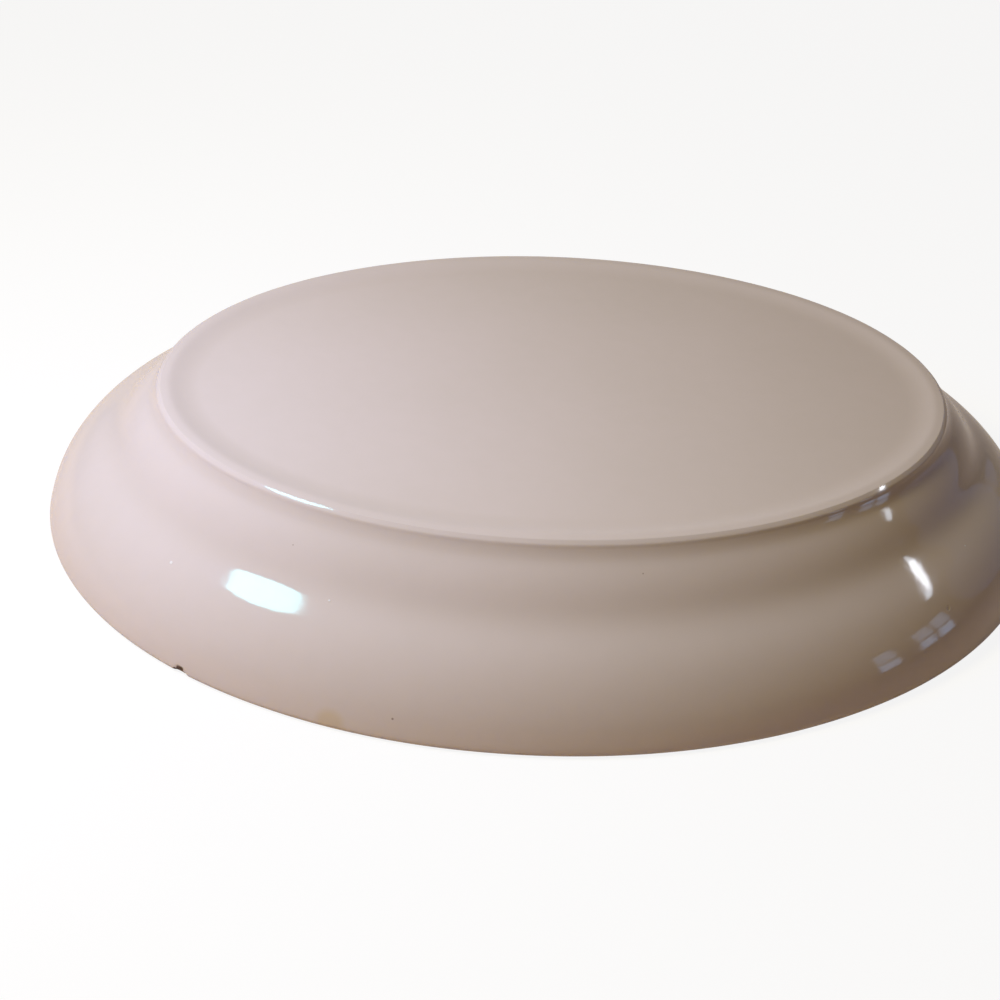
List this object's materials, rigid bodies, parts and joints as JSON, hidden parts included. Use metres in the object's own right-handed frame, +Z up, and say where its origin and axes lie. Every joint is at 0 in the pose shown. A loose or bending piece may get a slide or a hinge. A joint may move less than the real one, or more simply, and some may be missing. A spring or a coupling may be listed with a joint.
{
  "type": "oval serving platter",
  "caption": "Deep oval serving platter of cream-glazed pottery with a recessed base, foot ring, stepped lower wall and broad rounded shoulder, lying face down.",
  "frame": {"origin": "centre of the oval on the plane that the lip rests on, with the platter lying face down", "axes": "+X along the oval's long axis, +Y along its short axis, +Z up from the lip towards the foot; for serving, the platter is turned half a turn about X, so that it stands on its foot and the well faces up"},
  "size_m": [0.36, 0.268, 0.05],
  "materials": {
    "glaze": "glossy cream glaze, with a few pinholes and small specks"
  },
  "bodies": {
    "root": {"platter_body": "glaze"}
  },
  "joints": []
}
